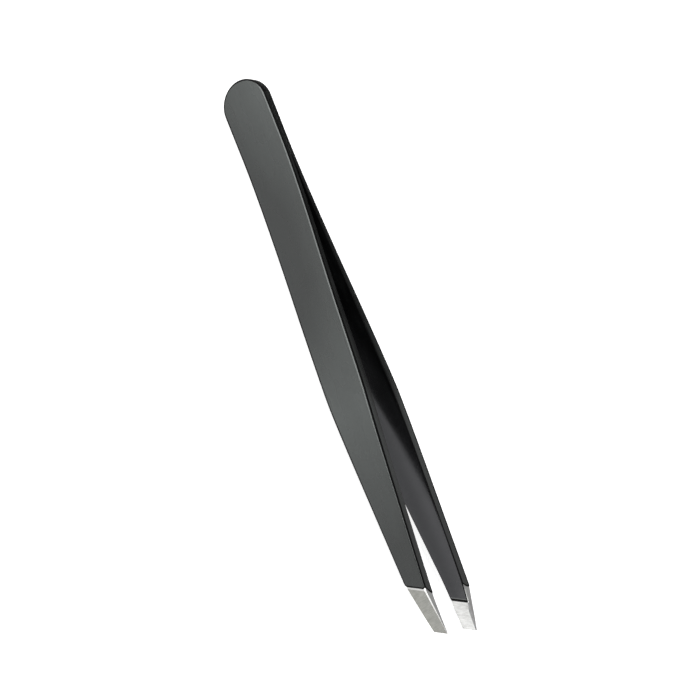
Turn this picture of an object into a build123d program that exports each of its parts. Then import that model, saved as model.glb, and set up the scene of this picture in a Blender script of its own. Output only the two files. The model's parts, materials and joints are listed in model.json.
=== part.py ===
from build123d import *
import os
from math import atan2, cos, sin

# Slant tweezers: two steel arms, welded face to face at the head and sprung apart towards the tips,
# with an enamel coat that is ground away at the tips. They lie on the long edges of the arms.
# X runs from the head to the tips, Y is the squeezing direction and Z is the width of the arms.
# Each shape is made with its stations measured from the head end and its width about Z = 0, and the
# last step moves it so that the origin is under the middle of the tweezers. Lengths are in mm.

LENGTH = 95.0
HEAD_WIDTH = 8.44
HEAD_RADIUS = HEAD_WIDTH / 2
COAT = 0.08

# Side view of one enamelled arm: (station, distance from the plane midway between the arms).
HEAD_HALF_THICKNESS = 0.98
HEAD_FLAT_END = 12.0
OUTER_FACE = [(20.0, 1.32), (30.0, 2.24), (40.0, 3.32), (50.0, 4.26), (57.0, 4.86), (72.0, 5.58), (88.0, 6.15)]
CROTCH = 14.6
INNER_FACE = [(24.0, 0.60), (36.0, 1.70), (48.0, 2.52), (60.0, 3.40), (75.0, 4.13), (86.0, 4.48)]
OUTER_END_SLOPE = 0.034
CROTCH_SLOPE = 0.04
CROTCH_MEAN_SLOPE = 0.06
INNER_END_SLOPE = 0.03
GROUND_FLAT_START = (91.1, 4.06)
TIP_HALF_GAP = 3.92
TIP_EDGE_THICKNESS = 0.20

# Front view: (station, half width) of the enamelled arm, and the corners of the bare slanting tip.
WAIST = [(20.0, 4.11), (35.0, 3.87), (48.0, 3.76)]
SHOULDER = (55.5, 3.64)
SHOULDER_SLOPE = 0.03
TIP_HALF_WIDTH = 0.985
LOW_CORNER_STATION = 93.88
HIGH_CORNER_STATION = LENGTH

# The enamel ends on slanting lines: outside and at the sides where the bevel starts, inside further on.
BEVEL_LINE = (86.9, 6.12)
ENAMEL_END_INSIDE = 89.75
INNER_COAT_REACH = 4.8

# Spring end: each blade bends about a line across its arm.
HINGE_STATION = 20.0
HINGE_GAP = 0.10

# Two spot welds join the arms inside the head.
WELD_STATIONS = [4.4, 9.6]
WELD_RADIUS = 1.5
WELD_HALF_DEPTH = 0.45
WELD_CHAMFER = 0.2

# Blocks and sketches that are cut or intersected run this far past the tweezers.
REACH = 30.0
SPARE = 2.0

SLANT = atan2(HIGH_CORNER_STATION - LOW_CORNER_STATION, 2 * TIP_HALF_WIDTH)
TIP_STATION = (HIGH_CORNER_STATION + LOW_CORNER_STATION) / 2
SLANT_DIRECTION = Vector(sin(SLANT), 0, cos(SLANT))


def at_front(station, distance):
    """A point of the front arm at mid width, from its place in the side view."""
    return Vector(station, -distance, 0)


def side_block(inset):
    """The front arm's side view, inset on its outer and inner faces, as a block across the width."""
    head_face = inset - HEAD_HALF_THICKNESS
    outer = [(HEAD_FLAT_END, head_face)] + [(x, inset - y) for x, y in OUTER_FACE]
    crotch = CROTCH - inset / CROTCH_MEAN_SLOPE
    inner = [(crotch, 0.0)] + [(x, -y - inset) for x, y in INNER_FACE]
    past_tip = LENGTH + SPARE
    with BuildSketch(Plane.XY) as sketch:
        with BuildLine():
            Polyline((crotch, 0.0), (-SPARE, 0.0), (-SPARE, head_face), outer[0])
            outer_face = Spline(*outer, tangents=[(1, 0), (1, -OUTER_END_SLOPE)])
            Polyline(
                outer_face @ 1,
                (past_tip, outer[-1][1]),
                (past_tip, -TIP_HALF_GAP),
                (TIP_STATION, -TIP_HALF_GAP),
                (GROUND_FLAT_START[0], -GROUND_FLAT_START[1]),
                inner[-1],
            )
            Spline(*inner, tangents=[(1, -CROTCH_SLOPE), (1, -INNER_END_SLOPE)])
        make_face()
    return extrude(sketch.sketch, amount=REACH, both=True)


def front_block(inset):
    """The arms' front view, inset all round, as a block that reaches to the front."""
    edge = [(HEAD_RADIUS, HEAD_RADIUS - inset)] + [(x, y - inset) for x, y in WAIST + [SHOULDER]]
    tip = TIP_HALF_WIDTH + COAT - inset
    with BuildSketch(Plane.XZ) as sketch:
        with BuildLine():
            upper = Spline(*edge, tangents=[(1, 0), (1, -SHOULDER_SLOPE)])
            lower = Spline(*[(x, -y) for x, y in edge], tangents=[(1, 0), (1, SHOULDER_SLOPE)])
            Polyline(upper @ 1, (HIGH_CORNER_STATION, tip), (LOW_CORNER_STATION, -tip), lower @ 1)
            ThreePointArc(upper @ 0, (inset, 0), lower @ 0)
        make_face()
    return extrude(sketch.sketch, amount=REACH)


def arm_blank(inset):
    """The whole front arm before grinding, inset from its enamelled size."""
    return side_block(inset) & front_block(inset)


def slanting_cut(edge, face, towards):
    """A block beyond the plane through two slanting lines of the front arm."""
    normal = SLANT_DIRECTION.cross(face - edge).normalized()
    if normal.dot(towards) < 0:
        normal = -normal
    plane = Plane(origin=face, x_dir=SLANT_DIRECTION, z_dir=normal)
    return extrude(plane * Rectangle(4 * REACH, 4 * REACH), amount=REACH)


def bevel_waste():
    """The outside of the tip, ground away down to the slanting edge."""
    edge = at_front(TIP_STATION, TIP_HALF_GAP + TIP_EDGE_THICKNESS)
    return slanting_cut(edge, at_front(*BEVEL_LINE), Vector(0, -1, 0))


def beyond(station):
    """Everything beyond a slanting plane across the front arm."""
    return slanting_cut(at_front(station, 0), at_front(station, 1), Vector(1, 0, 0))


def bare_zone():
    """Where the enamel is ground away: beyond the bevel's line, but further on over the inner face."""
    inner_side = Pos(LENGTH, 0, 0) * Box(2 * REACH, 2 * INNER_COAT_REACH, 2 * REACH)
    inner_coat = (front_block(COAT) & inner_side) - beyond(ENAMEL_END_INSIDE)
    return beyond(BEVEL_LINE[0]) - inner_coat


def stretch(start, end):
    """A block that holds everything between two stations."""
    length = end - start
    return Pos(start + length / 2, 0, 0) * Box(length, 2 * REACH, 2 * REACH)


def rear_of(shape):
    """The rear arm's copy of a front arm's shape."""
    return mirror(shape, about=Plane.XZ)


def weld_nugget(station):
    """One spot weld: a short disc of fused metal across the joint between the arms."""
    disc = Rot(90, 0, 0) * Cylinder(WELD_RADIUS, 2 * WELD_HALF_DEPTH)
    rims = disc.edges().filter_by(GeomType.CIRCLE)
    return Pos(station, 0, 0) * chamfer(rims, WELD_CHAMFER)


root = stretch(-SPARE, HINGE_STATION - HINGE_GAP / 2)
blade = stretch(HINGE_STATION + HINGE_GAP / 2, LENGTH + SPARE)
enamelled = arm_blank(0.0)
steel = arm_blank(COAT)
welds = [weld_nugget(station) for station in WELD_STATIONS]

arm_root = steel & root
for nugget in welds:
    arm_root -= nugget
arm_blade = (steel & blade) - bevel_waste()
blade_enamel = (enamelled & blade) - steel - bare_zone()
head_coat = enamelled & root
head_enamel = head_coat + rear_of(head_coat) - (steel & root) - rear_of(steel & root)

nodes = {
    "front_arm_root": arm_root,
    "rear_arm_root": rear_of(arm_root),
    "front_arm_blade": arm_blade,
    "rear_arm_blade": rear_of(arm_blade),
    "head_weld": Compound(welds),
    "head_enamel": head_enamel,
    "front_blade_enamel": blade_enamel,
    "rear_blade_enamel": rear_of(blade_enamel),
}

os.makedirs("parts", exist_ok=True)
for name, shape in nodes.items():
    export_step(Pos(-LENGTH / 2, 0, HEAD_RADIUS) * shape, f"parts/{name}.step")
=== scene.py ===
import json
from math import atan2, cos, pi, radians, sin, sqrt, tan
import bmesh
import bpy
import numpy as np
from mathutils import Matrix, Vector


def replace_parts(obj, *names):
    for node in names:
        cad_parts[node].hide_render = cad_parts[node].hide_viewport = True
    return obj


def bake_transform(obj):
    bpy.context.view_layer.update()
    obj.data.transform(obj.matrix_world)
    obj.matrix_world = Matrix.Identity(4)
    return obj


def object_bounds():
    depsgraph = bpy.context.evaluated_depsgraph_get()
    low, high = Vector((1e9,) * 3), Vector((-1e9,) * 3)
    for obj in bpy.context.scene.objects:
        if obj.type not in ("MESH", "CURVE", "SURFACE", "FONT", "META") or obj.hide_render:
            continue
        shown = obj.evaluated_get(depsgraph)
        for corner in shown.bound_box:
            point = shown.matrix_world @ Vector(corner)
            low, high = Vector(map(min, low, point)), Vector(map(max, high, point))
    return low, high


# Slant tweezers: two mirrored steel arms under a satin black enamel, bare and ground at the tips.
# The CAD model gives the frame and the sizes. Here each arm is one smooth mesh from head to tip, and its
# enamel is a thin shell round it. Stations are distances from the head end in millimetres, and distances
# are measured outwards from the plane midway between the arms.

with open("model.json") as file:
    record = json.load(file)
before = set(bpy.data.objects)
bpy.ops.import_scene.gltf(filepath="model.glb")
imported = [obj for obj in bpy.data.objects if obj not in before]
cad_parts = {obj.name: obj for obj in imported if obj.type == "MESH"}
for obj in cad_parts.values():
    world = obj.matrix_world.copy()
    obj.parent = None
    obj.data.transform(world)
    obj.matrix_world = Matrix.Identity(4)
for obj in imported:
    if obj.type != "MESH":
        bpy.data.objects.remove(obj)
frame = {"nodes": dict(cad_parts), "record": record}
cad_low, cad_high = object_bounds()

MM = 0.001
LENGTH = (cad_high.x - cad_low.x) / MM
HEAD_RADIUS = (cad_high.z - cad_low.z) / MM / 2
MIDDLE_HEIGHT = (cad_high.z + cad_low.z) / MM / 2
HEAD_HALF_THICKNESS = frame["record"]["mounts"][1]["pos_m"][1] / MM
SIDES = {"front": -1, "rear": 1}
COAT = 0.08

# Side view of one arm with its enamel: (station, distance).
HEAD_FLAT_END = 12.0
OUTER_START = (HEAD_FLAT_END, HEAD_HALF_THICKNESS)
OUTER_BEND = [(20.0, 1.32), (30.0, 2.24), (40.0, 3.32), (50.0, 4.26)]
OUTER_TAPER = [(57.0, 4.86), (72.0, 5.58), (88.0, 6.15)]
OUTER_END_SLOPE = 0.034
CROTCH = 14.6
INNER_FACE = [(24.0, 0.60), (36.0, 1.70), (48.0, 2.52), (60.0, 3.40), (75.0, 4.13), (86.0, 4.48)]
CROTCH_SLOPE = 0.04
INNER_END_SLOPE = 0.03
JAW_BEND_START = 84.0
JAW_SLOPE = -0.16
GROUND_FLAT_START = (91.1, 4.06)
TIP_HALF_GAP = 3.92
TIP_EDGE_THICKNESS = 0.20
CROWN = 0.03
SEAM_HALF_GAP = 0.004

# Rounded edges look slimmer than the CAD model's sharp ones. So the faces stand this much further out,
# the inner one in full from where the arms have parted, and TIP_ALLOWANCE below makes the tips wider.
FACE_ALLOWANCE = 0.12
ARMS_PARTED = 35.0

# Front view: (station, half width) with the enamel, the corners of the bare slanting tip, and where the
# lines across the arm start to lean towards its slant.
WAIST = [(20.0, 4.11), (35.0, 3.87), (48.0, 3.76), (54.0, 3.67)]
WAIST_END_SLOPE = -0.022
SHOULDER = (55.5, 3.64)
SHOULDER_ROUND = 1.6
TIP_HALF_WIDTH = 0.985
TIP_ALLOWANCE = 0.09
LOW_CORNER_STATION = LENGTH - 1.12
SLANT = atan2(LENGTH - LOW_CORNER_STATION, 2 * TIP_HALF_WIDTH)
TIP_STATION = (LENGTH + LOW_CORNER_STATION) / 2
SLANT_START = 66.0

# The enamel ends on a slanting line across the outer face, and just past it the bevel starts. A lag is how
# far past that line the enamel reaches elsewhere: on the inner face, and at the outer and inner edges of
# the sides, between which its end bulges. The arms aren't ground quite alike. The inner lag changes to the
# side's along a fringe of the rounded inner edge, where 0 is the edge's start on the face and 1 its end.
ENAMEL_END = 87.05
BEVEL_START = 87.35
INSIDE_LAG = 2.85
OUTER_CORNER_LAG = {"front": -0.30, "rear": 0.20}
INNER_CORNER_LAG = {"front": 0.70, "rear": -0.25}
INNER_FRINGE = {"front": (-0.4, 0.0), "rear": (0.35, 0.75)}
SIDE_BULGE = 0.15

# The coat's end is rounded over its lip, and inside, a line beside the matt lip is painted lighter as a
# highlight.
LIP = 0.28
INNER_LIP = 0.42
HIGHLIGHT_RIM = 0.15

# Edges, as (station, size): the radii of the enamelled ones and the chamfers of the bare ones. The steel
# changes from round to chamfered just under the end of the enamel.
OUTER_ROUND = [(60.0, 0.40), (86.0, 0.28)]
INNER_ROUND = [(CROTCH - 2.0, 0.02), (CROTCH + 6.0, 0.10), (76.0, 0.10), (88.0, 0.20)]
BEVEL_CHAMFER = [(87.2, 0.19), (92.5, 0.04)]
JAW_CHAMFER = [(87.0, 0.10), (89.9, 0.12), (91.4, 0.26), (94.4, 0.10)]
LOWER_JAW_CHAMFER = 0.03
ROUND_TO_CHAMFER = (86.4, 86.7)

# How much of the outer face's upper edge is glossy, and where that and the glossy side start on the head.
GLOSSY_EDGE_SHARE = 0.55
GLOSSY_HEAD_TURN = radians(15)
GLOSSY_SIDE_TURN = radians(84)

# The grid of each arm, how its points are joined, how far off its inner sheet of UVs lies, and the
# material slots of its faces.
STATION_STEP = 0.6
HEAD_RAILS = 48
FACE_ROWS = 9
ROUND_ROWS = 11
SIDE_ROWS = 8
LIP_RAILS = 6
BARE_RAILS = [3, 9, 4, 16]
TOLERANCE = 0.0004
CREASE_ANGLE = radians(13.5)
INNER_SHEET = 20.0
ENAMEL_SLOTS = ["outer", "inner", "rim", "edge"]
STEEL_SLOTS = ["bevel", "strip", "edge", "side", "inner", "jaw_edge"]


def smooth_curve(points, start_slope, end_slope):
    """A cubic spline through the points with the given slopes at its two ends."""
    x, y = np.array(points, float).T
    step = np.diff(x)
    rise = np.diff(y) / step
    count = len(x)
    matrix = np.eye(count)
    slopes = np.zeros(count)
    slopes[0], slopes[-1] = start_slope, end_slope
    for i in range(1, count - 1):
        matrix[i, i - 1 : i + 2] = step[i], 2 * (step[i - 1] + step[i]), step[i - 1]
        slopes[i] = 3 * (rise[i - 1] * step[i] + rise[i] * step[i - 1])
    slopes = np.linalg.solve(matrix, slopes)

    def value(at):
        i = int(np.clip(np.searchsorted(x, at) - 1, 0, count - 2))
        return hermite(at, x[i], y[i], slopes[i], x[i + 1], y[i + 1], slopes[i + 1])

    return value


def hermite(at, x0, y0, slope0, x1, y1, slope1):
    """Cubic from (x0, y0) to (x1, y1) with those end slopes; straight past its ends."""
    if at <= x0:
        return y0 + slope0 * (at - x0)
    if at >= x1:
        return y1 + slope1 * (at - x1)
    h = x1 - x0
    t = (at - x0) / h
    a = (1 + 2 * t) * (1 - t) ** 2 * y0 + t * t * (3 - 2 * t) * y1
    return a + h * t * (1 - t) * ((1 - t) * slope0 - t * slope1)


def share(low, high, at):
    """How far a value is from low to high, from 0 to 1."""
    return min(1.0, max(0.0, (at - low) / (high - low)))


def smoothstep(low, high, at):
    t = share(low, high, at)
    return t * t * (3 - 2 * t)


def size_at(profile, station):
    """The size of an edge at a station, straight between the profile's points."""
    return float(np.interp(station, *zip(*profile)))


outer_curve = smooth_curve([OUTER_START] + OUTER_BEND + OUTER_TAPER, 0.0, OUTER_END_SLOPE)
inner_curve = smooth_curve([(CROTCH, 0.0)] + INNER_FACE, CROTCH_SLOPE, INNER_END_SLOPE)
waist_curve = smooth_curve([(HEAD_RADIUS, HEAD_RADIUS)] + WAIST, 0.0, WAIST_END_SLOPE)


def half_width(station, sign):
    """Half width of the enamelled arm at a station: sign 1 is its upper edge and -1 its lower edge."""
    corner = LENGTH if sign > 0 else LOW_CORNER_STATION
    slope = (TIP_HALF_WIDTH + TIP_ALLOWANCE + COAT - SHOULDER[1]) / (corner - SHOULDER[0])
    start = SHOULDER[0] - SHOULDER_ROUND
    end = SHOULDER[0] + SHOULDER_ROUND
    if station <= start:
        return waist_curve(station)
    end_width = SHOULDER[1] + slope * SHOULDER_ROUND
    return hermite(station, start, waist_curve(start), WAIST_END_SLOPE, end, end_width, slope)


def outer_distance(station, width):
    """Outer face of the enamelled arm, slightly crowned across its width."""
    face = outer_curve(station) if station > HEAD_FLAT_END else HEAD_HALF_THICKNESS
    crown = CROWN * smoothstep(HEAD_RADIUS, HEAD_FLAT_END, station)
    return face + FACE_ALLOWANCE - crown * (width / HEAD_RADIUS) ** 2


def inner_distance(station, width):
    """Inner face of the enamelled arm, with the ground flat that meets the other tip."""
    if station <= CROTCH:
        return SEAM_HALF_GAP
    along = station - tan(SLANT) * width * smoothstep(SLANT_START, ENAMEL_END, station)
    flat_slope = (TIP_HALF_GAP - GROUND_FLAT_START[1]) / (TIP_STATION - GROUND_FLAT_START[0])
    if along > GROUND_FLAT_START[0]:
        return GROUND_FLAT_START[1] + flat_slope * (along - GROUND_FLAT_START[0])
    if along > JAW_BEND_START:
        start = inner_curve(JAW_BEND_START) - FACE_ALLOWANCE
        return hermite(along, JAW_BEND_START, start, INNER_END_SLOPE, *GROUND_FLAT_START, JAW_SLOPE)
    allowance = FACE_ALLOWANCE * smoothstep(CROTCH, ARMS_PARTED, station)
    return inner_curve(station) + SEAM_HALF_GAP - allowance


def bevel_distance(along):
    """The ground outer bevel, a plane down to the slanting edge."""
    top = outer_curve(BEVEL_START) + FACE_ALLOWANCE - COAT
    edge = TIP_HALF_GAP + TIP_EDGE_THICKNESS
    return edge + (top - edge) * (TIP_STATION - along) / (TIP_STATION - BEVEL_START)


# Each arm is a grid of rails and rows. A rail is a place on the arm's outline: it runs up one edge, round
# the head and back along the other edge. A row is a step across the arm, from the middle of its outer
# face, over the edge, to the middle of its inner face.


def edge_stations(steel):
    """Stations of the rails along one edge, from the head's round end to the enamel's end or the steel's."""
    rim_end = ENAMEL_END - INNER_LIP
    rim_start = rim_end - HIGHLIGHT_RIM
    count = round((rim_start - HEAD_RADIUS) / STATION_STEP)
    stations = list(np.linspace(HEAD_RADIUS, rim_start, count)) + [rim_end, ENAMEL_END - LIP]
    stations += [ENAMEL_END - LIP + LIP * sin(k * pi / 2 / LIP_RAILS) for k in range(1, LIP_RAILS)]
    stations.append(ENAMEL_END)
    if steel:
        bare = [BEVEL_START, ENAMEL_END + INSIDE_LAG, GROUND_FLAT_START[0], TIP_STATION]
        for start, end, count in zip([ENAMEL_END] + bare, bare, BARE_RAILS):
            stations += list(np.linspace(start, end, count + 1)[1:])
    return stations


def rails(steel):
    """(station, sign, turn) of every rail. turn is the angle round the head, or None along an edge."""
    stations = edge_stations(steel)
    turns = np.linspace(-pi / 2, pi / 2, HEAD_RAILS + 1)
    lower = [(station, -1, None) for station in reversed(stations[1:])]
    head = [(HEAD_RADIUS, 1 if turn > 0 else -1, turn) for turn in turns]
    return lower + head + [(station, 1, None) for station in stations[1:]]


def rows():
    """(zone, value) of every row: how far to the middle on a face, or how far through an edge or side."""
    face = np.linspace(1, 0, FACE_ROWS)[:-1]
    edge = np.linspace(0, 1, ROUND_ROWS)
    side = np.linspace(0, 1, SIDE_ROWS)[1:-1]
    made = [("outer", value) for value in face] + [("outer_edge", value) for value in edge]
    made += [("side", value) for value in side]
    made += [("inner_edge", value) for value in edge[::-1]] + [("inner", value) for value in face[::-1]]
    return made


def face_zones():
    """The zone of the faces between each row and the next. Only faces inside an edge belong to it."""
    zones = [zone for zone, _ in rows()]
    pairs = zip(zones, zones[1:])
    return [second if first.endswith("edge") else first for first, second in pairs]


def lag(arm, zone, value):
    """How far the enamel reaches past its line at a row."""
    outside, inside = OUTER_CORNER_LAG[arm], INNER_CORNER_LAG[arm]
    if zone == "outer_edge":
        return outside * value
    if zone == "side":
        return outside + (inside - outside) * value + SIDE_BULGE * sin(pi * value)
    if zone == "inner_edge":
        return INSIDE_LAG + (inside - INSIDE_LAG) * smoothstep(*INNER_FRINGE[arm], value)
    return 0.0 if zone == "outer" else INSIDE_LAG


def along_arm(nominal, reach):
    """Where a rail of the enamel crosses mid width, on a row that reaches that far past its line."""
    return nominal + reach * smoothstep(SLANT_START, ENAMEL_END, nominal)


def edge_shape(zone, value, along, rail, steel):
    """(distance in from the outline, distance down from the face) of a row.

    Edges are round, but the bare steel's are chamfers."""
    nominal, sign, _ = rail
    if zone.startswith("outer"):
        radius, chamfer = size_at(OUTER_ROUND, along), size_at(BEVEL_CHAMFER, along)
    else:
        radius = size_at(INNER_ROUND, along)
        chamfer = size_at(JAW_CHAMFER, along) if sign > 0 else LOWER_JAW_CHAMFER
    turn = value * pi / 2
    bare = share(*ROUND_TO_CHAMFER, nominal) * steel
    across = radius * (1 - sin(turn)) * (1 - bare) + chamfer * (1 - value) * bare
    down = radius * (1 - cos(turn)) * (1 - bare) + chamfer * value * bare
    return across, down


def arm_point(arm, rail, row, inset, steel):
    """(station, distance, width, outline, depth) of one grid point, inset from the enamelled size.

    The outline is the half width at this row, and the depth is how far it is below the outer face."""
    nominal, sign, turn = rail
    zone, value = row
    along = nominal if steel else along_arm(nominal, lag(arm, zone, value))
    on_face = zone in ("outer", "inner")
    middle = value if on_face else 0.0
    across, down = 0.0, 0.0
    if zone != "side":
        across, down = edge_shape(zone, 0.0 if on_face else value, along, rail, steel)
    if turn is None:
        slant = tan(SLANT) * smoothstep(SLANT_START, ENAMEL_END, nominal)
        station = along
        for _ in range(4):
            outline = half_width(station, sign) - inset - across
            width = sign * outline * (1 - middle)
            station = along + slant * width
    else:
        outline = HEAD_RADIUS - inset - across
        station = HEAD_RADIUS - outline * (1 - middle) * cos(turn)
        width = outline * (1 - middle) * sin(turn)
    outside = outer_distance(station, width) - inset
    if along > ENAMEL_END:
        outside = min(outside, bevel_distance(along))
    ground = smoothstep(ENAMEL_END + INSIDE_LAG, GROUND_FLAT_START[0], along)
    inside = inner_distance(station, width) + inset * (1 - ground)
    high = outside - edge_shape("outer_edge", 1.0, along, rail, steel)[1]
    low = inside + edge_shape("inner_edge", 1.0, along, rail, steel)[1]
    distance = high + (low - high) * value
    if zone.startswith("outer"):
        distance = outside - down
    if zone.startswith("inner"):
        distance = inside + down
    return station, distance, width, outline, outside - distance


def at(station, distance, width, side):
    """A point in the row frame. side is -1 for the front arm and 1 for the rear arm."""
    return Vector(((station - LENGTH / 2) * MM, side * distance * MM, (MIDDLE_HEIGHT + width) * MM))


def skin(mesh, arm, grid_rails, inset, steel=False):
    """One grid of points, as grid[rail][row]: a vertex, and its UVs on the wrapped and inner sheets.

    UVs are in millimetres, along and across the arm. The wrapped sheet is the outer face with the edges
    and sides folded out, and the inner sheet is the inner face."""
    grid = []
    for rail in grid_rails:
        line = []
        _, sign, turn = rail
        for row in rows():
            station, distance, width, outline, depth = arm_point(arm, rail, row, inset, steel)
            vertex = mesh.verts.new(at(station, distance, width, SIDES[arm]))
            wrapped = (station, sign * (abs(width) + depth))
            if turn is not None:
                reach = depth + (outline * (1 - row[1]) if row[0] == "outer" else outline)
                wrapped = (HEAD_RADIUS - reach * cos(turn), reach * sin(turn))
            line.append((vertex, wrapped, (station, width + INNER_SHEET)))
        grid.append(line)
    return grid


def add_face(mesh, corners, slot, inner=False):
    """A face through grid points, with its UVs and material slot."""
    face = mesh.faces.new([corner[0] for corner in corners])
    layer = mesh.loops.layers.uv.verify()
    for loop, corner in zip(face.loops, corners):
        loop[layer].uv = corner[2 if inner else 1]
    face.material_index = slot
    face.smooth = True


def cover(mesh, grid, slot_of):
    """Faces between neighbouring rails and rows. slot_of gives the material slot of a rail and row."""
    zones = face_zones()
    for i in range(len(grid) - 1):
        for j, zone in enumerate(zones):
            corners = [grid[i][j], grid[i + 1][j], grid[i + 1][j + 1], grid[i][j + 1]]
            add_face(mesh, corners, slot_of(i, j), inner=zone == "inner")


def finish_arm(mesh, name, materials):
    """Welds the grid's shared points, points the faces outwards and makes the object."""
    bmesh.ops.remove_doubles(mesh, verts=mesh.verts[:], dist=TOLERANCE * MM)
    bmesh.ops.dissolve_degenerate(mesh, dist=TOLERANCE * MM, edges=mesh.edges[:])
    bmesh.ops.recalc_face_normals(mesh, faces=mesh.faces[:])
    for edge in mesh.edges:
        if len(edge.link_faces) == 2 and edge.calc_face_angle() > CREASE_ANGLE:
            edge.smooth = False
    data = bpy.data.meshes.new(name)
    mesh.to_mesh(data)
    mesh.free()
    for material in materials:
        data.materials.append(material)
    piece = bpy.data.objects.new(name, data)
    bpy.context.scene.collection.objects.link(piece)
    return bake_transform(piece)


def is_glossy(rail, zone, value):
    """Whether a face of the enamel is glossy. Its edges are matt, but for part of the outer face's upper
    edge and the inner edges in the closed seam. So are the sides' outer rims and the head's rounded end."""
    station, sign, turn = rail
    if zone == "outer_edge":
        reach = float(sign > 0) if turn is None else share(GLOSSY_HEAD_TURN, pi / 2, turn)
        return value < GLOSSY_EDGE_SHARE * reach
    if zone == "side":
        return value < 1 and (turn is None or turn > GLOSSY_SIDE_TURN)
    return zone != "inner_edge" or station < CROTCH


def enamel_shell(arm, materials):
    """The coat of one arm: an outer and an inner skin, joined by a rounded lip at the tip's end."""
    mesh = bmesh.new()
    grid_rails = rails(steel=False)
    lip_start = ENAMEL_END - LIP

    def inset(nominal):
        reach = share(lip_start, ENAMEL_END, nominal)
        return COAT * (1 - sqrt(1 - reach * reach))

    outside = []
    for rail in grid_rails:
        outside += skin(mesh, arm, [rail], inset(rail[0]))
    inside = skin(mesh, arm, grid_rails, COAT)
    zones, values = face_zones(), [value for _, value in rows()]

    def slot_of(i, j):
        near = grid_rails[i]
        from_end = ENAMEL_END - min(near[0], grid_rails[i + 1][0]) - TOLERANCE
        lip = INNER_LIP if zones[j] == "inner" else LIP
        if from_end < lip or not is_glossy(near, zones[j], values[j]):
            return ENAMEL_SLOTS.index("edge")
        if zones[j] != "inner":
            return ENAMEL_SLOTS.index("outer")
        # The rim beside the inner lip takes the enamel that carries the painted highlight.
        return ENAMEL_SLOTS.index("rim" if from_end < lip + HIGHLIGHT_RIM else "inner")

    cover(mesh, outside, slot_of)
    cover(mesh, inside, lambda i, j: 0)
    piece = finish_arm(mesh, arm + "_arm_enamel", materials)
    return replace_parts(piece, "head_enamel", arm + "_blade_enamel")


def steel_arm(arm, materials):
    """The steel of one arm, from inside the head to the bare ground tip."""
    mesh = bmesh.new()
    grid_rails = rails(steel=True)
    grid = skin(mesh, arm, grid_rails, COAT, steel=True)
    zones = face_zones()

    def slot_of(i, j):
        nominal = min(grid_rails[i][0], grid_rails[i + 1][0])
        if zones[j] == "outer":
            return STEEL_SLOTS.index("bevel" if nominal > BEVEL_START - TOLERANCE else "strip")
        if zones[j] == "inner_edge" and nominal > ENAMEL_END + INSIDE_LAG - TOLERANCE:
            return STEEL_SLOTS.index("jaw_edge")
        return STEEL_SLOTS.index("edge" if zones[j].endswith("edge") else zones[j])

    cover(mesh, grid, slot_of)
    lower, upper = grid[0], grid[-1]
    half = len(lower) // 2
    for j in range(half - 1):
        k = len(lower) - 1 - j
        add_face(mesh, [lower[j], lower[j + 1], lower[k - 1], lower[k]], 0)
        add_face(mesh, [upper[j], upper[k], upper[k - 1], upper[j + 1]], 0)
    piece = finish_arm(mesh, arm + "_arm_steel", materials)
    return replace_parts(piece, arm + "_arm_root", arm + "_arm_blade")


# Materials. UVs are in millimetres: U along the arm and V across it.

# Painted sheen and shade on the outer face: its colour is greyed at the grip and the head in place of
# brighter reflections there, and on the arm's first part it is lighter towards the upper edge and darker
# towards the lower one.
GRIP_STATION = 58.0
GRIP_REACH = 22.0
GRIP_SHEEN = 0.8
HEAD_SHEEN_END = 24.0
HEAD_SHEEN = 0.6
CROSS_SHADE = 0.32
CROSS_SHADE_FADE = (35.0, 55.0)
ENAMEL_BLACK = (0.0015, 0.0016, 0.0016)
ENAMEL_GREY = (0.042, 0.0465, 0.0445)

# The sizes, along and across, of the enamel's clouds, streaks and orange peel, and of the steel's
# scratches and patches. Scratches turned by a right angle run across the arm.
CLOUD_SIZE = (9.0, 3.0)
STREAK_SIZE = (14.0, 0.45)
PEEL_SIZE = (0.16, 0.16)
SCRATCH_SIZE = (1.8, 0.12)
PATCH_SIZE = (1.1, 0.7)
ACROSS = pi / 2

# The span that a noise mostly keeps to.
NOISE_LOW, NOISE_HIGH = 0.3, 0.7


def node_material(name):
    """A new node material, with a maker for its nodes and its shader."""
    material = bpy.data.materials.new(name)
    material.use_nodes = True
    tree = material.node_tree
    shader = tree.nodes["Principled BSDF"]

    def node(kind, inputs=None, **settings):
        made = tree.nodes.new("ShaderNode" + kind)
        for key, value in settings.items():
            setattr(made, key, value)
        for key, value in (inputs or {}).items():
            if isinstance(value, bpy.types.NodeSocket):
                tree.links.new(value, made.inputs[key])
            else:
                made.inputs[key].default_value = value
        return made

    def link(output, socket):
        tree.links.new(output, shader.inputs[socket])

    return material, shader, node, link


def noise(node, coordinates, stretch, turn=0.0, detail=3.0, rough=0.55):
    """A noise over the UVs with features of stretch (along, across) millimetres, turned by an angle."""
    turned = node("Mapping", {"Vector": coordinates, "Rotation": (0, 0, turn)}).outputs[0]
    scale = (1 / stretch[0], 1 / stretch[1], 1)
    scaled = node("Mapping", {"Vector": turned, "Scale": scale}).outputs[0]
    made = node("TexNoise", {"Vector": scaled, "Scale": 1.0, "Detail": detail, "Roughness": rough})
    return made.outputs["Fac"]


def ramp(node, factor, low, high, bottom=0.0, top=1.0):
    """factor from low to high, mapped from bottom to top."""
    source = {"Value": factor, "From Min": low, "From Max": high}
    return node("MapRange", {**source, "To Min": bottom, "To Max": top}).outputs[0]


def vary(node, factor, bottom, top):
    """A noise mapped from bottom to top."""
    return ramp(node, factor, NOISE_LOW, NOISE_HIGH, bottom, top)


def combine(node, operation, first, second=0.0):
    return node("Math", {0: first, 1: second}, operation=operation).outputs[0]


def mix_colours(node, factor, first, second):
    made = node("Mix", {"Factor": factor}, data_type="RGBA")
    made.inputs["A"].default_value = (*first, 1)
    made.inputs["B"].default_value = (*second, 1)
    return made.outputs["Result"]


def bump(node, height, strength, distance):
    made = node("Bump", {"Height": height, "Strength": strength, "Distance": distance * MM})
    return made.outputs[0]


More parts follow.
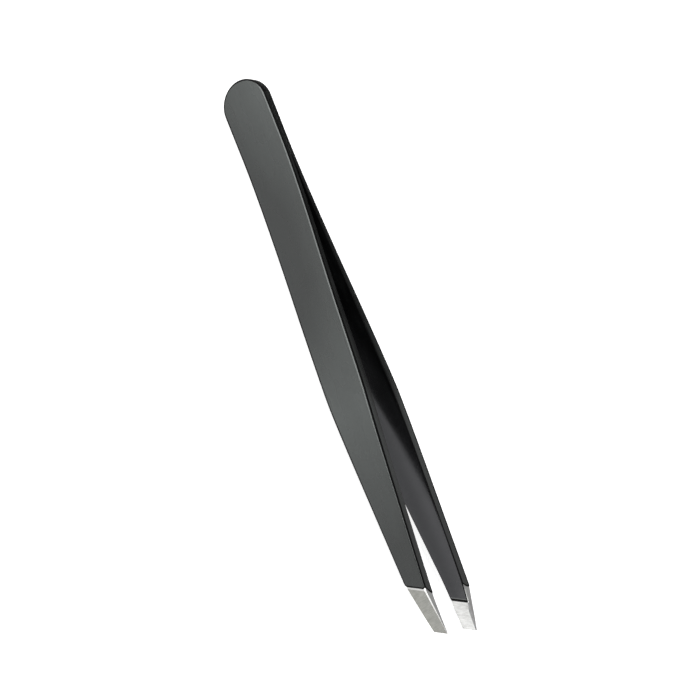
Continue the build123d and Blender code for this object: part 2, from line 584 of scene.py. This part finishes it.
def painted_sheen_and_shade(node, place):
    """How much the outer face is greyed as painted sheen at the head and the grip, and as painted shade that
    is lighter towards its upper edge and darker towards its lower one.
    """
    from_grip = combine(node, "ABSOLUTE", combine(node, "SUBTRACT", place[0], GRIP_STATION))
    grip = ramp(node, from_grip, 0.0, GRIP_REACH, GRIP_SHEEN, 0.0)
    head = ramp(node, place[0], HEAD_RADIUS, HEAD_SHEEN_END, HEAD_SHEEN, 0.0)
    upwards = ramp(node, place[1], -HEAD_RADIUS, HEAD_RADIUS, -CROSS_SHADE, CROSS_SHADE)
    upwards = combine(node, "MULTIPLY", upwards, ramp(node, place[0], *CROSS_SHADE_FADE, 1.0, 0.0))
    off_face = combine(node, "ABSOLUTE", place[1])
    on_face = ramp(node, off_face, HEAD_RADIUS, HEAD_RADIUS + 1, 1.0, 0.0)
    total = combine(node, "ADD", combine(node, "ADD", grip, head), upwards)
    return combine(node, "MULTIPLY", total, on_face)


def enamel_material(name, level, roughness, painted_highlight, tint):
    """Satin black baked enamel with faint clouds, streaks and orange peel, greyer where sheen and shade are
    painted.

    painted_highlight is how much it is greyed all over, as a painted highlight, and level and tint are its
    reflection's strength and colour."""
    material, shader, node, link = node_material(name)
    uv = node("TexCoord").outputs["UV"]
    place = node("SeparateXYZ", {"Vector": uv}).outputs
    cloud = noise(node, uv, CLOUD_SIZE, detail=2.0)
    streaks = noise(node, uv, STREAK_SIZE)
    peel = noise(node, uv, PEEL_SIZE, detail=2.0)
    mottle = combine(node, "ADD", vary(node, streaks, -0.02, 0.02), vary(node, cloud, -0.05, 0.05))
    # The mix towards grey adds painted sheen and shade on the outer face, random mottle, and an all-over
    # greying that paints the rim's highlight.
    grey = combine(node, "ADD", combine(node, "ADD", painted_sheen_and_shade(node, place), mottle), painted_highlight)
    link(mix_colours(node, grey, ENAMEL_BLACK, ENAMEL_GREY), "Base Color")
    link(vary(node, cloud, roughness - 0.03, roughness + 0.03), "Roughness")
    relief = combine(node, "ADD", peel, ramp(node, streaks, 0.0, 1.0, 0.0, 0.3))
    link(bump(node, relief, 0.15, 0.004), "Normal")
    shader.inputs["Specular IOR Level"].default_value = level
    shader.inputs["Specular Tint"].default_value = (*tint, 1)
    return material


def enamel_edge_material():
    """The enamel's matt black edges and end."""
    material, shader, node, link = node_material("matt_enamel_edge")
    uv = node("TexCoord").outputs["UV"]
    grain = noise(node, uv, (0.1, 0.1))
    link(mix_colours(node, grain, (0.001, 0.001, 0.001), (0.004, 0.004, 0.004)), "Base Color")
    link(vary(node, grain, 0.6, 0.8), "Roughness")
    link(bump(node, grain, 0.3, 0.01), "Normal")
    shader.inputs["Specular IOR Level"].default_value = 0.1
    return material


def steel_material(name, light, dark, roughness, turn=0.0, relief=0.35):
    """Ground stainless steel, between a light and a dark colour, with its scratches turned by an angle."""
    material, shader, node, link = node_material(name)
    uv = node("TexCoord").outputs["UV"]
    scratches = noise(node, uv, SCRATCH_SIZE, turn, detail=5.0, rough=0.7)
    patches = noise(node, uv, PATCH_SIZE, turn, detail=2.0)
    tone = combine(node, "ADD", scratches, vary(node, patches, -0.08, 0.08))
    link(mix_colours(node, vary(node, tone, 0.0, 1.0), dark, light), "Base Color")
    link(vary(node, scratches, roughness - 0.06, roughness + 0.08), "Roughness")
    link(bump(node, scratches, relief, 0.006), "Normal")
    shader.inputs["Metallic"].default_value = 1.0
    shader.inputs["Anisotropic"].default_value = 0.4
    return material


def floor_material():
    """A plain white lit table."""
    material, shader, node, link = node_material("white_table")
    grain = node("TexNoise", {"Scale": 40.0}).outputs["Fac"]
    link(mix_colours(node, grain, (0.80, 0.80, 0.80), (0.83, 0.83, 0.83)), "Base Color")
    shader.inputs["Roughness"].default_value = 0.9
    shader.inputs["Specular IOR Level"].default_value = 0.1
    shader.inputs["Emission Color"].default_value = (1, 1, 1, 1)
    shader.inputs["Emission Strength"].default_value = FLOOR_GLOW
    return material


# The set: a white lit table under a dark ceiling with a white horizon, and three soft boxes.

FLOOR_SIZE = 4.0
FLOOR_DROP = 0.0002
FLOOR_GLOW = 0.86
HORIZON_LEVEL = 0.9
CEILING_LEVEL = 0.02
CEILING_START = 0.45
BOX_DISTANCE = 0.9
CENTRE = Vector((0, 0, MIDDLE_HEIGHT * MM))

TOWARDS_CAMERA = Vector((0.2600, -0.8211, 0.5080))
CAMERA_RIGHT = Vector((0.3546, 0.5705, 0.7407))
CAMERA_DISTANCE = 0.4566
CAMERA_LENS = 151.84
CAMERA_SHIFT = (0.00712, 0.00159)

# Each light's direction as (azimuth, elevation), how large it looks as (wide, high), and its radiance.
SOFT_BOXES = {
    "front_left_box": ((-38, 35), (40, 46), 5.4),
    "front_right_box": ((22, 58), (32, 34), 1.5),
    "rear_right_box": ((174, 32), (30, 28), 0.6),
}


def make_floor():
    bpy.ops.mesh.primitive_plane_add(size=FLOOR_SIZE, location=(0, 0, -FLOOR_DROP))
    floor = bpy.context.object
    floor.name = "table"
    floor.data.materials.append(floor_material())


def soft_box(name, direction, spread, radiance):
    """A rectangular light that faces the tweezers, with its direction and its spread in degrees.

    Azimuth 0 is in front of the tweezers, and it grows towards the tips."""
    turn, rise = [radians(angle) for angle in direction]
    towards = Vector((sin(turn) * cos(rise), -cos(turn) * cos(rise), sin(rise)))
    size = [2 * BOX_DISTANCE * tan(radians(angle) / 2) for angle in spread]
    data = bpy.data.lights.new(name, "AREA")
    data.shape = "RECTANGLE"
    data.size, data.size_y = size
    data.energy = radiance * pi * size[0] * size[1]
    light = bpy.data.objects.new(name, data)
    bpy.context.scene.collection.objects.link(light)
    light.location = CENTRE + towards * BOX_DISTANCE
    light.rotation_euler = (-towards).to_track_quat("-Z", "Y").to_euler()


def make_camera():
    back = TOWARDS_CAMERA.normalized()
    right = (CAMERA_RIGHT - back * CAMERA_RIGHT.dot(back)).normalized()
    up = back.cross(right)
    data = bpy.data.cameras.new("camera")
    data.lens = CAMERA_LENS
    data.sensor_width = 36.0
    data.shift_x, data.shift_y = CAMERA_SHIFT
    data.clip_start = 0.01
    camera = bpy.data.objects.new("camera", data)
    axes = Matrix((right, up, back)).transposed().to_4x4()
    camera.matrix_world = Matrix.Translation(CENTRE + back * CAMERA_DISTANCE) @ axes
    bpy.context.scene.collection.objects.link(camera)
    bpy.context.scene.camera = camera


def make_world():
    """Surroundings that are white at the horizon and fade to a dark ceiling."""
    world = bpy.data.worlds.new("world")
    world.use_nodes = True
    tree = world.node_tree
    direction = tree.nodes.new("ShaderNodeTexCoord").outputs["Generated"]
    height = tree.nodes.new("ShaderNodeSeparateXYZ")
    tree.links.new(direction, height.inputs[0])
    level = tree.nodes.new("ShaderNodeMapRange")
    level.interpolation_type = "SMOOTHSTEP"
    tree.links.new(height.outputs["Z"], level.inputs["Value"])
    level.inputs["From Max"].default_value = CEILING_START
    level.inputs["To Min"].default_value = HORIZON_LEVEL
    level.inputs["To Max"].default_value = CEILING_LEVEL
    tree.links.new(level.outputs[0], tree.nodes["Background"].inputs["Strength"])
    tree.nodes["Background"].inputs["Color"].default_value = (1, 1, 1, 1)
    bpy.context.scene.world = world


def light_the_scene():
    make_world()
    for name, (direction, spread, radiance) in SOFT_BOXES.items():
        soft_box(name, direction, spread, radiance)
    view = bpy.context.scene.view_settings
    view.view_transform = "Standard"
    view.look = "None"


def enamel_materials():
    """The enamel's materials, in the order of ENAMEL_SLOTS."""
    return [
        enamel_material("satin_black_enamel", level=0.61, roughness=0.27, painted_highlight=0.0, tint=(0.96, 1.0, 0.985)),
        enamel_material("inner_black_enamel", level=0.73, roughness=0.17, painted_highlight=0.0, tint=(0.95, 0.955, 1.0)),
        # The rim's enamel is greyed all over and reflects more strongly: a painted highlight.
        enamel_material("painted_highlight_enamel_rim", level=1.0, roughness=0.30, painted_highlight=1.0, tint=(1.0, 1.0, 1.0)),
        enamel_edge_material(),
    ]


def steel_materials():
    """The steel's materials, in the order of STEEL_SLOTS. The jaw's scratches follow the slant."""
    return [
        steel_material("ground_bevel", (0.31, 0.31, 0.29), (0.195, 0.195, 0.18), 0.36, ACROSS),
        steel_material("bevel_strip", (0.50, 0.50, 0.49), (0.42, 0.42, 0.41), 0.30, ACROSS),
        steel_material("polished_edge", (0.95, 0.95, 0.94), (0.80, 0.80, 0.79), 0.22, relief=0.03),
        steel_material("blank_side", (0.78, 0.78, 0.77), (0.58, 0.58, 0.57), 0.40),
        steel_material("ground_jaw", (0.78, 0.78, 0.77), (0.43, 0.43, 0.42), 0.30, SLANT - ACROSS),
        steel_material("jaw_edge", (0.28, 0.28, 0.28), (0.20, 0.20, 0.20), 0.40),
    ]


def finish_weld():
    """The CAD model's own weld, with its metal."""
    weld = frame["nodes"]["head_weld"]
    weld.data.materials.clear()
    weld.data.materials.append(steel_material("weld_metal", (0.45, 0.43, 0.40), (0.25, 0.24, 0.23), 0.5))


coats, metals = enamel_materials(), steel_materials()
for arm in SIDES:
    enamel_shell(arm, coats)
    steel_arm(arm, metals)
finish_weld()
make_floor()
light_the_scene()
make_camera()
